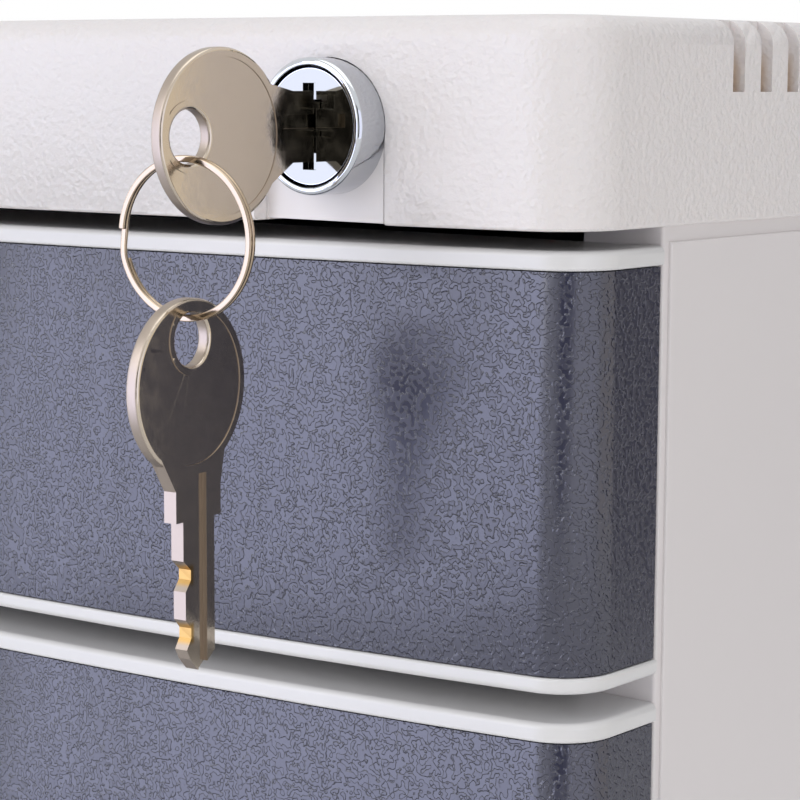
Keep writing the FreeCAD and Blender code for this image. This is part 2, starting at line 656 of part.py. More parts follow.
def lock_cam():
    """Plate on the plug's tail; its crank pin stands in the bar's fork."""
    body = new_body("lock_cam")
    grow(body, "y", "cam_y", "cam_y + cam_wall", draw_circle, "lock_x", "lock_z", "6.5")
    pin = ("lock_x + cam_rise", "lock_z + cam_rise")
    grow(body, "y", "cam_y", "cam_y + cam_wall", draw_circle, *pin, "pin_radius + 1.6")
    grow(body, "y", "cam_y + 0.5", "bar_y + bar_wall + 1", draw_circle, *pin, "pin_radius")
    carve(body, "y", "cam_y - 1", "cam_y + cam_wall + 1", draw_circle, "lock_x", "lock_z",
          "tail_radius + 0.03")
    return body


def cam_screw():
    """Low-headed screw in the end of the plug's tail; it keeps the cam on."""
    body = new_body("cam_screw")
    grow(body, "y", "cam_y + cam_wall", "cam_y + cam_wall + 0.9", draw_circle,
         "lock_x", "lock_z", "tail_radius + 1")
    carve(body, "y", "cam_y + cam_wall + 0.5", "cam_y + cam_wall + 1.5", draw_rectangle,
          "lock_x - 3.5", "lock_z - 0.5", "lock_x + 3.5", "lock_z + 0.5")
    return body


def lock_bar():
    """Flat steel strip in the right-hand cavity that carries the fork and the hooks."""
    body = new_body("lock_bar")
    grow(body, "y", "bar_y", "bar_y + bar_wall", draw_rectangle, "bar_x", "hook_z - 14",
         "bar_x + bar_width", "pin_z + 4")
    return body


def bar_fork():
    """Arm at the bar's top whose slot holds the cam's pin."""
    body = new_body("bar_fork")
    left = "lock_x + cam_rise - pin_radius - 0.4"
    grow(body, "y", "bar_y", "bar_y + bar_wall", draw_rectangle, left, "pin_z - 4", "bar_x",
         "pin_z + 4")
    carve(body, "y", "bar_y - 1", "bar_y + bar_wall + 1", draw_rectangle, left + " - 1",
          "pin_z - pin_radius - bar_play", "lock_x + cam_radius + pin_radius + 0.6",
          "pin_z + pin_radius + bar_play")
    return body


def bar_hooks():
    """One hook for each drawer, resting raised above that drawer's catch."""
    hooks = []
    for place in range(DRAWERS):
        hook = doc.addObject("Part::Box", "Hook")
        hook.setExpression("Length", named("bar_x - tray_half - rim_reach - hook_clear"))
        hook.setExpression("Width", named("bar_wall"))
        hook.setExpression("Height", named("catch_height"))
        set_place(hook, "tray_half + rim_reach + hook_clear", "bar_y",
                  "hook_z + %d * drawer_pitch" % place)
        hooks.append(hook)
    return group("bar_hooks", hooks)


def bar_guides():
    """Two channels on the side panel that the bar slides up and down in."""
    guides = []
    above_hook = "hook_z + catch_height + 12"
    for height in (above_hook, above_hook + " + %d * drawer_pitch" % (DRAWERS - 2)):
        block = doc.addObject("Part::Box", "Block")
        block.setExpression("Length", named("panel_in - bar_x + 2.2"))
        block.setExpression("Width", named("bar_wall + 2.8"))
        block.setExpression("Height", "14")
        set_place(block, "bar_x - 2.2", "panel_y + flange_wall", height)
        way = doc.addObject("Part::Box", "Way")
        way.setExpression("Length", named("bar_width + 0.6"))
        way.setExpression("Width", named("bar_wall + 1.2"))
        way.setExpression("Height", "20")
        set_place(way, "bar_x - 0.3", "panel_y + flange_wall", height + " - 3")
        guide = doc.addObject("Part::Cut", "Guide")
        guide.Base = block
        guide.Tool = way
        guides.append(guide)
    return group("bar_guides", guides)


# ---------------------------------------------------------------- keys
def draw_blade(sketch, tip, root, z):
    """Blade outline with its cuts on the lower edge and a pointed tip."""
    half = "blade_half"
    points = [(root, "%s + %s" % (z, half)), (tip + " - 2", "%s + %s" % (z, half)),
              (tip, "%s + 0.6" % z), (tip, "%s - 0.4" % z), (tip + " - 1.6", "%s - 1.9" % z)]
    for back, depth in ((2.9, 2.6), (4.3, 1.7), (5.6, 1.7), (6.8, 2.8), (10.4, 2.8),
                        (11.8, 1.7), (13.1, 1.7)):
        points.append(("%s - %g" % (tip, back), "%s - %g * blade_half / 3.2" % (z, depth)))
    points.append(("%s - 14.4" % tip, "%s - %s" % (z, half)))
    points.append((root, "%s - %s" % (z, half)))
    draw_polygon(sketch, points)


def key_blank(label):
    """Key lying along Y with its round bow to the front, centred in the lock."""
    body = new_body(label)
    left, right = "lock_x - key_wall / 2", "lock_x + key_wall / 2"
    shoulder = "head_y"
    tip = "(head_y + blade_length)"
    grow(body, "x", left, right, draw_circle, "bow_y", "bow_z", "bow_radius")
    grow(body, "x", left, right, draw_polygon,
         [("bow_y + 8.2", "bow_z - 6.6"), (shoulder + " - 4.2", "lock_z - neck_half"),
          (shoulder + " - 0.2", "lock_z - neck_half"), (shoulder + " - 0.2", "lock_z + neck_half"),
          (shoulder + " - 4.2", "lock_z + neck_half"), ("bow_y + 8.2", "bow_z + 6.6")])
    grow(body, "x", left, right, draw_blade, tip, shoulder + " - 1", "lock_z")
    round_edges(body, "0.45", lambda e, m: m.y < size("bow_y") - 0.1)
    for low, high in ((left + " - 1", left + " + rim_relief"),
                      (right + " - rim_relief", right + " + 1")):
        carve(body, "x", low, high, draw_circle, "bow_y", "bow_z", "bow_radius - rim_width")
    grow(body, "x", left, right, draw_circle, "hole_y", "bow_z", "bow_hole + boss_width")
    carve(body, "x", left + " - 1", right + " + 1", draw_circle, "hole_y", "bow_z", "bow_hole")
    round_edges(body, "0.45", lambda e, m: is_circle(e, size("bow_hole")))
    carve(body, "x", right + " - groove_depth", right + " + 1", draw_rectangle,
          shoulder + " - 6", "lock_z - 0.2", tip + " + 1", "lock_z + 1.6")
    return body


def inserted_key():
    return key_blank("key")


def spare_key():
    """The same key hanging from the ring: turned so that its tip points down."""
    body = key_blank("spare_key")
    down = FreeCAD.Rotation(V(1, 0, 0), -90)
    turn = FreeCAD.Rotation(V(0, 0, 1), size("ring_turn")).multiply(down)
    hole = turn.multVec(V(size("lock_x"), size("hole_y"), size("bow_z")))
    hang = V(size("lock_x"), size("hole_y"), size("spare_hole_z"))
    body.Placement = FreeCAD.Placement(hang.sub(hole), turn)
    return body


def split_ring():
    """Ring of flat wire wound twice; it hangs in the key's hole, turned a little."""
    outer = doc.addObject("Part::Cylinder", "Outer")
    outer.setExpression("Radius", named("ring_mean + ring_radial / 2"))
    outer.setExpression("Height", named("ring_axial"))
    inner = doc.addObject("Part::Cylinder", "Inner")
    inner.setExpression("Radius", named("ring_mean - ring_radial / 2"))
    inner.setExpression("Height", named("ring_axial + 2"))
    inner.Placement.Base.z = -1
    wound = doc.addObject("Part::Cut", "Wound")
    wound.Base = outer
    wound.Tool = inner
    for radius in ("ring_mean + ring_radial / 2 - 0.12", "ring_mean - ring_radial / 2 - 0.12"):
        big = doc.addObject("Part::Cylinder", "Groove")
        big.setExpression("Radius", named(radius + " + 0.24"))
        big.setExpression("Height", "0.16")
        big.setExpression("Placement.Base.z", named("ring_axial / 2 - 0.08"))
        small = doc.addObject("Part::Cylinder", "GrooveCore")
        small.setExpression("Radius", named(radius))
        small.setExpression("Height", "0.16")
        small.setExpression("Placement.Base.z", named("ring_axial / 2 - 0.08"))
        seam = doc.addObject("Part::Cut", "Seam")
        seam.Base = big
        seam.Tool = small
        grooved = doc.addObject("Part::Cut", "Wound")
        grooved.Base = wound
        grooved.Tool = seam
        wound = grooved
    doc.recompute()
    wound.Label = "split_ring"
    angle = size("ring_turn")
    # lay the ring's axis along -Y, turn it about the vertical, then hang it in the hole
    lay = FreeCAD.Rotation(V(0, 0, 1), angle).multiply(FreeCAD.Rotation(V(1, 0, 0), 90))
    shift = lay.multVec(V(0, 0, size("ring_axial") / 2))
    place = V(size("lock_x"), size("hole_y"), size("ring_top_z") - size("ring_mean"))
    wound.Placement = FreeCAD.Placement(place.sub(shift), lay)
    BUILT.append(wound)
    doc.recompute()
    return wound


# ---------------------------------------------------------------- build and export
top_cover()
side_panel("right_side_panel", "1")
side_panel("left_side_panel", "-1")
runner_wall("right_runner_wall", "1")
runner_wall("left_runner_wall", "-1")
base_panel()
back_panel()
rubber_feet()
back_screws()
for drawer in range(1, DRAWERS + 1):
    drawer_tray(drawer)
    drawer_catch(drawer)
    drawer_face(drawer)
lock_housing()
lock_nut()
lock_plug()
lock_wafers()
lock_cam()
cam_screw()
lock_bar()
bar_fork()
bar_hooks()
bar_guides()
inserted_key()
spare_key()
split_ring()
doc.recompute()

for item in doc.Objects:
    if "Invalid" in item.State or "Error" in item.State:
        raise RuntimeError("%s (%s) didn't build: %s" % (item.Name, item.Label, item.State))
for item in BUILT:
    if item.Shape.isNull() or not item.Shape.isValid():
        raise RuntimeError("%s has no valid shape" % item.Label)
    item.Shape.exportStep(os.path.join("parts", item.Label + ".step"))
    box = item.Shape.BoundBox
    print("%-20s solids %d  x %.1f %.1f  y %.1f %.1f  z %.1f %.1f" % (
        item.Label, len(item.Shape.Solids), box.XMin, box.XMax, box.YMin, box.YMax,
        box.ZMin, box.ZMax))
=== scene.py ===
import math

import bmesh
import bpy
from mathutils import Matrix, Vector


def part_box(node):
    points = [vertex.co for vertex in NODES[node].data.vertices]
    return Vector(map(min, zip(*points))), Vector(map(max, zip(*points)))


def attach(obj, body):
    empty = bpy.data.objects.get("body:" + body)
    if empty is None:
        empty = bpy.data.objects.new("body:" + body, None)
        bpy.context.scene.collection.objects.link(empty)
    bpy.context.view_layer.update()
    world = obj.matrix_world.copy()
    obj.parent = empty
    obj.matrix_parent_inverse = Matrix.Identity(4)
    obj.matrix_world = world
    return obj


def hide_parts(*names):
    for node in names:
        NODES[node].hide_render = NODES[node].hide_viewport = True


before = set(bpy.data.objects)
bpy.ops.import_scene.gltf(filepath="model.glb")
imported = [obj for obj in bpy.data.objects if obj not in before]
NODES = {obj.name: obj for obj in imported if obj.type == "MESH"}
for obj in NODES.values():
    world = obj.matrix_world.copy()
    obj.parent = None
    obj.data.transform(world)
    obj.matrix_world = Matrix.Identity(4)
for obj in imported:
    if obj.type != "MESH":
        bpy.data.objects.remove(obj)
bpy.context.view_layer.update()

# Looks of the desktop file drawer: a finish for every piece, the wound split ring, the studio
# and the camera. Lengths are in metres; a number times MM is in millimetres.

DRAWERS = range(1, 6)
MM = 0.001

# landmarks, from the pieces' boxes
COVER_LOW, COVER_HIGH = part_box("top_cover")
LOCK_LOW, LOCK_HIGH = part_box("lock_housing")
SPARE_LOW, SPARE_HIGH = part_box("spare_key")
RING_LOW, RING_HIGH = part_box("split_ring")
FRONT_Y = COVER_LOW.y
SIDE_X = COVER_HIGH.x
LOCK_X = (LOCK_LOW.x + LOCK_HIGH.x) / 2
LOCK_Z = (LOCK_LOW.z + LOCK_HIGH.z) / 2
LOCK_POINT = (LOCK_X, FRONT_Y, LOCK_Z)
KEY_TIP_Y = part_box("key")[1].y
SPARE_TIP_Z = SPARE_LOW.z

# the smooth pad below the lock: how far it lies behind the bezel's front, and where its sides
# are from the lock's middle
PAD_Y = LOCK_LOW.y + 5.25 * MM
PAD_LEFT = LOCK_X - 11.9 * MM
PAD_RIGHT = LOCK_X + 8.9 * MM

# grip notches in both sides of the cover
NOTCHES = 5
NOTCH_START = FRONT_Y + 47.1 * MM
NOTCH_PITCH = 7.1 * MM
NOTCH_WIDTH = 3.0 * MM
NOTCH_WALL_X = SIDE_X - 2.6 * MM

# the lock's head: plug and bezel are parted by a ring gap that starts behind the front
PLUG_RADIUS = 7.5 * MM
BEZEL_BORE = 8.06 * MM
# the ring gap is painted near-black as shade, fading in between the two depths below, behind the
# bezel's front
GAP_STARTS = LOCK_LOW.y + 0.45 * MM
GAP_FULL_SHADE = LOCK_LOW.y + 0.6 * MM

# bare brass on the keys: two notches so far from the tip, and where across the blade the
# plating ends
TIP_TO_BRASS = (4.95 * MM, 12.45 * MM)
BRASS_HALF_WIDTH = 1.3 * MM
PLATING_FADE = 0.6 * MM
KEY_PLATED_Z = LOCK_Z - 0.86 * MM
SPARE_PLATED_Y = (SPARE_LOW.y + SPARE_HIGH.y) / 2 + 0.25 * MM


# ---------------------------------------------------------------- shader helpers
def linear(code):
    """Linear colour of an sRGB hex code."""
    channels = [int(code[i:i + 2], 16) / 255 for i in (1, 3, 5)]
    return [c / 12.92 if c <= 0.04045 else ((c + 0.055) / 1.055) ** 2.4 for c in channels] + [1.0]


def new_material(name):
    material = bpy.data.materials.new(name)
    material.use_nodes = True
    material.node_tree.nodes.clear()
    return material


def add(holder, kind, inputs=None, output=None, **settings):
    """Adds a node with its settings and links to a material or a world.

    inputs maps a socket to a constant or to another node's output. It gives back the output
    that is named, or else the node.
    """
    tree = holder.node_tree
    node = tree.nodes.new("ShaderNode" + kind)
    for setting, value in settings.items():
        setattr(node, setting, value)
    for socket, value in (inputs or {}).items():
        if isinstance(value, bpy.types.NodeSocket):
            tree.links.new(value, node.inputs[socket])
        else:
            node.inputs[socket].default_value = value
    return node.outputs[output] if output else node


def soft_mask(material, *steps):
    """One where every step is met: a step is a value, where it counts zero and where one."""
    mask = 1.0
    for value, zero_at, one_at in steps:
        met = add(material, "MapRange", {"Value": value, "From Min": zero_at,
                                         "From Max": one_at}, "Result",
                  interpolation_type="SMOOTHSTEP")
        mask = add(material, "Math", {0: mask, 1: met}, "Value", operation="MULTIPLY")
    return mask


def span(value, start, end, edge):
    """The two steps that bound a stretch of a value, with soft edges."""
    return (value, start - edge, start + edge), (value, end + edge, end - edge)


# ---------------------------------------------------------------- plastics and rubber
def lock_pad_mask(material, axes):
    """One on the smooth flat below the lock's bezel, zero on the grained rest of the cover."""
    return soft_mask(material,
                     *span(axes["X"], PAD_LEFT, PAD_RIGHT, 0.12 * MM),
                     *span(axes["Y"], PAD_Y - 0.3 * MM, PAD_Y + 0.3 * MM, 0.1 * MM),
                     (axes["Z"], LOCK_Z + 1.0 * MM, LOCK_Z))


def painted_notch_shade_mask(material, axes):
    """Zero outside, rising to one low on the inner walls of the grip notches in both sides, where
    the notches get their painted shade.
    """
    last_end = NOTCH_START + (NOTCHES - 1) * NOTCH_PITCH + NOTCH_WIDTH
    past = add(material, "Math", {0: axes["Y"], 1: NOTCH_START}, "Value", operation="SUBTRACT")
    in_pitch = add(material, "Math", {0: past, 1: NOTCH_PITCH}, "Value", operation="MODULO")
    out = add(material, "Math", {0: axes["X"]}, "Value", operation="ABSOLUTE")
    return soft_mask(material,
                     *span(axes["Y"], NOTCH_START - 1.0 * MM, last_end + 1.0 * MM, 0.1 * MM),
                     # inside a notch, not on the ribs between two
                     (in_pitch, NOTCH_WIDTH + 0.06 * MM, NOTCH_WIDTH + 0.02 * MM),
                     # below the cover's rounded top edge
                     (axes["Z"], COVER_HIGH.z - 3.0 * MM, COVER_HIGH.z - 7.0 * MM),
                     # from the cover's outer face, where it is zero, in to the notch's wall
                     (out, SIDE_X - 0.3 * MM, SIDE_X - 2.2 * MM),
                     (out, NOTCH_WALL_X - 0.15 * MM, NOTCH_WALL_X - 0.05 * MM))


def grained_cover_plastic():
    """Injection-moulded ABS from a tool etched with a soft leather grain, a millimetre across.

    The grain breaks the light into faint flecks. The lock's pad has none, and the grip
    notches are painted tan low inside: painted shade with a painted warm glow, for the light
    that the thin plastic lets through and that bounces in them.
    """
    m = new_material("ABS, fine leather grain, off-white")
    place = add(m, "TexCoord", output="Object")
    axes = add(m, "SeparateXYZ", {"Vector": place}).outputs
    warp = add(m, "TexNoise", {"Vector": place, "Scale": 1 / (3.0 * MM), "Detail": 1.0}, "Color")
    shift = add(m, "VectorMath", {0: warp, 1: (1.2 * MM, 1.2 * MM, 1.2 * MM)}, "Vector",
                operation="MULTIPLY")
    bent = add(m, "VectorMath", {0: place, 1: shift}, "Vector", operation="ADD")
    cells = add(m, "TexVoronoi", {"Vector": bent, "Scale": 1 / (1.0 * MM), "Randomness": 1.0,
                                  "Smoothness": 0.7}, "Distance", feature="SMOOTH_F1")
    fine = add(m, "TexNoise", {"Vector": place, "Scale": 1 / (0.6 * MM)}, "Fac")
    grain = add(m, "Math", {0: cells, 1: fine}, "Value", operation="ADD")
    off_pad = add(m, "Math", {0: 1.0, 1: lock_pad_mask(m, axes)}, "Value", operation="SUBTRACT")
    height = add(m, "Math", {0: grain, 1: off_pad}, "Value", operation="MULTIPLY")
    normal = add(m, "Bump", {"Height": height, "Distance": 0.16 * MM, "Strength": 0.85}, "Normal")
    # painted shade and painted warm glow: the notches' lower inner walls are tinted tan, not the
    # plastic's own colour
    colour = add(m, "MixRGB", {"Fac": painted_notch_shade_mask(m, axes), "Color1": linear("#DFDAD9"),
                               "Color2": linear("#C6B29E")}, "Color")
    surface = add(m, "BsdfPrincipled", {"Base Color": colour, "Roughness": 0.46, "IOR": 1.53,
                                        "Normal": normal, "Subsurface Weight": 0.1,
                                        "Subsurface Scale": 1.5 * MM,
                                        "Subsurface Radius": (1.0, 0.75, 0.55)}, "BSDF")
    add(m, "OutputMaterial", {"Surface": surface})
    return m


def smooth_plastic(name, code, roughness):
    """Moulded plastic, satin or glossy, with only a faint waviness in its shine."""
    m = new_material(name)
    place = add(m, "TexCoord", output="Object")
    wave = add(m, "TexNoise", {"Vector": place, "Scale": 1 / (6.0 * MM), "Detail": 1.0}, "Fac")
    normal = add(m, "Bump", {"Height": wave, "Distance": 0.02 * MM, "Strength": 0.3}, "Normal")
    surface = add(m, "BsdfPrincipled", {"Base Color": linear(code), "Roughness": roughness,
                                        "IOR": 1.5, "Normal": normal}, "BSDF")
    add(m, "OutputMaterial", {"Surface": surface})
    return m


def grained_face_plastic():
    """Moulded polystyrene, blue-grey, its tool etched with short winding islands.

    Their slopes draw thin dark outlines. The ground between them is glossier than their
    tops, so it flashes where it mirrors a light.
    """
    m = new_material("Polystyrene, winding embossed grain, blue-grey")
    place = add(m, "TexCoord", output="Object")
    field = add(m, "TexNoise", {"Vector": place, "Scale": 1 / (0.66 * MM), "Detail": 0.3,
                                "Roughness": 0.4, "Distortion": 0.2}, "Fac")
    island = soft_mask(m, (field, 0.44, 0.56))
    fine = add(m, "TexNoise", {"Vector": place, "Scale": 1 / (0.25 * MM), "Detail": 1.0}, "Fac")
    on_tops = add(m, "Math", {0: fine, 1: island}, "Value", operation="MULTIPLY")
    fine_share = 0.16
    height = add(m, "Math", {0: on_tops, 1: fine_share, 2: island}, "Value",
                 operation="MULTIPLY_ADD")
    normal = add(m, "Bump", {"Height": height, "Distance": 0.13 * MM, "Strength": 1.0}, "Normal")
    gloss = add(m, "MapRange", {"Value": field, "From Min": 0.46, "From Max": 0.56,
                                "To Min": 0.22, "To Max": 0.3}, "Result",
                interpolation_type="SMOOTHSTEP")
    surface = add(m, "BsdfPrincipled", {"Base Color": linear("#2C2D40"), "Roughness": gloss,
                                        "IOR": 1.59, "Specular IOR Level": 0.7,
                                        "Normal": normal}, "BSDF")
    add(m, "OutputMaterial", {"Surface": surface})
    return m


def matte_rubber():
    """Moulded rubber, black and dull, with a fine uneven skin."""
    m = new_material("Rubber, black")
    place = add(m, "TexCoord", output="Object")
    skin = add(m, "TexNoise", {"Vector": place, "Scale": 1 / (0.6 * MM)}, "Fac")
    normal = add(m, "Bump", {"Height": skin, "Distance": 0.05 * MM, "Strength": 0.4}, "Normal")
    surface = add(m, "BsdfPrincipled", {"Base Color": linear("#1C1C1D"), "Roughness": 0.8,
                                        "IOR": 1.5, "Normal": normal}, "BSDF")
    add(m, "OutputMaterial", {"Surface": surface})
    return m


# ---------------------------------------------------------------- metals
def uneven_gloss(material, place, size_mm, least, most, detail=3.0, roughness=0.5):
    """Roughness that wanders between two values, in patches of about size_mm."""
    patch = add(material, "TexNoise", {"Vector": place, "Scale": 1 / (size_mm * MM),
                                       "Detail": detail, "Roughness": roughness}, "Fac")
    return add(material, "MapRange", {"Value": patch, "From Min": 0.3, "From Max": 0.7,
                                      "To Min": least, "To Max": most}, "Result",
               interpolation_type="SMOOTHSTEP")


def metal(name, code, roughness):
    """Rolled or drawn metal, plated or bare: almost flat, and a little uneven in its shine."""
    m = new_material(name)
    place = add(m, "TexCoord", output="Object")
    gloss = uneven_gloss(m, place, 3.0, roughness * 0.8, roughness * 1.25)
    skin = add(m, "TexNoise", {"Vector": place, "Scale": 1 / (0.5 * MM)}, "Fac")
    normal = add(m, "Bump", {"Height": skin, "Distance": 0.004 * MM, "Strength": 0.3}, "Normal")
    surface = add(m, "BsdfPrincipled", {"Base Color": linear(code), "Metallic": 1.0,
                                        "Roughness": gloss, "Normal": normal}, "BSDF")
    add(m, "OutputMaterial", {"Surface": surface})
    return m


def polished_chrome():
    """Chrome plate on die-cast zinc, mirror-bright.

    The plug is a tone darker than the bezel, and the ring gap between them is painted dark and
    dull: painted shade deep in the gap.
    """
    m = new_material("Chrome plate, polished")
    place = add(m, "TexCoord", output="Object")
    depth = add(m, "SeparateXYZ", {"Vector": place}, "Y")
    centred = add(m, "VectorMath", {0: place, 1: (LOCK_X, 0, LOCK_Z)}, "Vector",
                  operation="SUBTRACT")
    flat = add(m, "VectorMath", {0: centred, 1: (1, 0, 1)}, "Vector", operation="MULTIPLY")
    radius = add(m, "VectorMath", {0: flat}, "Value", operation="LENGTH")
    plug = soft_mask(m, (radius, PLUG_RADIUS + 0.05 * MM, PLUG_RADIUS - 0.05 * MM))
    gap = soft_mask(m, *span(radius, PLUG_RADIUS, BEZEL_BORE, 0.04 * MM),
                    (depth, GAP_STARTS, GAP_FULL_SHADE))
    plate = add(m, "MixRGB", {"Fac": plug, "Color1": linear("#C6C9CE"),
                              "Color2": linear("#96978F")}, "Color")
    # painted shade: the deep part of the ring gap is coloured near-black
    colour = add(m, "MixRGB", {"Fac": gap, "Color1": plate, "Color2": linear("#141414")},
                 "Color")
    gloss = uneven_gloss(m, place, 3.0, 0.04, 0.07)
    skin = add(m, "TexNoise", {"Vector": place, "Scale": 1 / (0.5 * MM)}, "Fac")
    normal = add(m, "Bump", {"Height": skin, "Distance": 0.003 * MM, "Strength": 0.3}, "Normal")
    surface = add(m, "BsdfPrincipled", {"Base Color": colour, "Metallic": 1.0,
                                        "Roughness": gloss, "Normal": normal}, "BSDF")
    add(m, "OutputMaterial", {"Surface": surface})
    return m


def key_nickel(name, along, notches, across, plated):
    """Nickel plate on stamped brass: warm grey, worn, and rougher on its cut edges.

    Two notches, at places along one axis, are cut through the plating and show the brass,
    which lies below plated on the other axis.
    """
    m = new_material(name)
    place = add(m, "TexCoord", output="Object")
    axes = add(m, "SeparateXYZ", {"Vector": place}).outputs
    # the rolled sheet's broad waves, lines along the cut edges, and fine scratches over both
    wave = add(m, "TexNoise", {"Vector": place, "Scale": 1 / (7.0 * MM), "Detail": 1.0}, "Fac")
    waved = add(m, "Bump", {"Height": wave, "Distance": 0.12 * MM, "Strength": 0.5}, "Normal")
    drawn_out = add(m, "Mapping", {"Vector": place, "Scale": (6.0, 0.8, 0.8)}, "Vector")
    line = add(m, "TexNoise", {"Vector": drawn_out, "Scale": 1 / (1.0 * MM)}, "Fac")
    lined = add(m, "Bump", {"Height": line, "Distance": 0.03 * MM, "Strength": 0.5,
                            "Normal": waved}, "Normal")
    scratch = add(m, "TexNoise", {"Vector": place, "Scale": 1 / (0.25 * MM), "Detail": 3.0,
                                  "Roughness": 0.7}, "Fac")
    normal = add(m, "Bump", {"Height": scratch, "Distance": 0.008 * MM, "Strength": 0.35,
                             "Normal": lined}, "Normal")
    first, second = [soft_mask(m, (axes[across], plated, plated - PLATING_FADE),
                               *span(axes[along], notch - BRASS_HALF_WIDTH,
                                     notch + BRASS_HALF_WIDTH, 0.35 * MM))
                     for notch in notches]
    brass = add(m, "Math", {0: first, 1: second}, "Value", operation="ADD")
    # a key's flat sides face along X, and its other faces are cut edges
    facing = add(m, "TexCoord", output="Normal")
    sideways = add(m, "SeparateXYZ", {"Vector": facing}, "X")
    flat = add(m, "Math", {0: sideways}, "Value", operation="ABSOLUTE")
    cut_edge = soft_mask(m, (flat, 0.8, 0.35))
    nickel = add(m, "MixRGB", {"Fac": cut_edge, "Color1": linear("#C4B8A8"),
                               "Color2": linear("#A2968A")}, "Color")
    colour = add(m, "MixRGB", {"Fac": brass, "Color1": nickel, "Color2": linear("#B9965C")},
                 "Color")
    polish = uneven_gloss(m, place, 2.4, 0.1, 0.17, detail=4.0, roughness=0.6)
    edge_roughness = 0.42
    gloss = add(m, "MixRGB", {"Fac": cut_edge, "Color1": polish,
                              "Color2": [edge_roughness] * 3 + [1.0]}, "Color")
    surface = add(m, "BsdfPrincipled", {"Base Color": colour, "Metallic": 1.0,
                                        "Roughness": gloss, "Normal": normal}, "BSDF")
    add(m, "OutputMaterial", {"Surface": surface})
    return m


COVER = grained_cover_plastic()
CASING = smooth_plastic("Polypropylene, satin, off-white", "#DCD7D7", 0.42)
TRAY = smooth_plastic("Polystyrene, smooth, white", "#D9D8D8", 0.28)
FACE = grained_face_plastic()
CHROME = polished_chrome()
RING = metal("Nickel plate, warm, drawn wire", "#AE9D88", 0.12)
KEY = key_nickel("Nickel plate on brass, key",
                 along="Y", notches=[KEY_TIP_Y - reach for reach in TIP_TO_BRASS],
                 across="Z", plated=KEY_PLATED_Z)
SPARE_KEY = key_nickel("Nickel plate on brass, spare key",
                       along="Z", notches=[SPARE_TIP_Z + reach for reach in TIP_TO_BRASS],
                       across="Y", plated=SPARE_PLATED_Y)
ZINC = metal("Steel, zinc plated", "#B9BABC", 0.3)
BRASS = metal("Brass, plain", "#C8A365", 0.22)
RUBBER = matte_rubber()


# ---------------------------------------------------------------- finishes of the CAD pieces
SAME_POINT = 0.001 * MM
SHARP_EDGE = math.radians(35)


def dress(names, material, round_mm=0.0):
    """Gives the named CAD nodes their material and rounds their sharp edges a little.

    Their meshes are split along those edges, so they are joined before they are rounded.
    """
    for name in names:
        item = NODES[name]
        item.data.materials.clear()
        item.data.materials.append(material)
        if round_mm:
            joined = item.modifiers.new("join", "WELD")
            joined.merge_threshold = SAME_POINT
            soft = item.modifiers.new("edge", "BEVEL")
            soft.width = round_mm * MM
            soft.segments = 3
            soft.limit_method = "ANGLE"
            soft.angle_limit = SHARP_EDGE
            soft.harden_normals = True
            soft.use_clamp_overlap = True


dress(["top_cover"], COVER, 0.3)
dress(["left_side_panel", "right_side_panel"], CASING, 0.3)
dress(["left_runner_wall", "right_runner_wall", "bar_guides"], CASING)
dress(["base_panel", "back_panel"], CASING, 0.4)
dress(["drawer_%d_tray" % k for k in DRAWERS], TRAY, 0.7)
dress(["drawer_%d_face" % k for k in DRAWERS], FACE, 0.3)
dress(["lock_housing", "lock_plug"], CHROME, 0.08)
dress(["lock_nut", "lock_cam", "cam_screw", "back_screws"], ZINC, 0.1)
dress(["lock_bar", "bar_fork", "bar_hooks"] + ["drawer_%d_catch" % k for k in DRAWERS], ZINC)
dress(["lock_wafers"], BRASS)
dress(["key"], KEY, 0.08)
dress(["spare_key"], SPARE_KEY, 0.08)
dress(["rubber_feet"], RUBBER, 0.3)


# ---------------------------------------------------------------- split ring
RING_CENTRE = (RING_LOW + RING_HIGH) / 2
RING_TURNED = math.radians(7.0)      # the ring's plane, off the casing's front
RING_RADIUS = 9.9 * MM               # to the middle of the wire
WIRE_RADIAL = 0.86 * MM
WIRE_AXIAL = 0.56 * MM
WIRE_ROUNDING = 0.2 * MM
END_ROUNDING = 0.12 * MM
TURN_SPACING = 0.6 * MM              # from one turn's middle to the other's
TURN_STEPS = 110
CROSSING = math.radians(22)          # where the wire changes from one turn to the other
CROSSING_STEPS = 10
END_PLACE = math.radians(197)        # turns the wire's two ends to the left


def carry_wire(bm, end, angle, steps, rise=0.0):
    """Draws the wire's end face on round the ring's axis and gives back the new end."""
    drawn = bmesh.ops.spin(bm, geom=end, cent=(0, 0, 0), axis=(0, 0, 1), angle=angle, steps=steps,
                           dvec=(0, 0, rise / steps), use_merge=False, use_duplicate=False)
    return drawn["geom_last"]


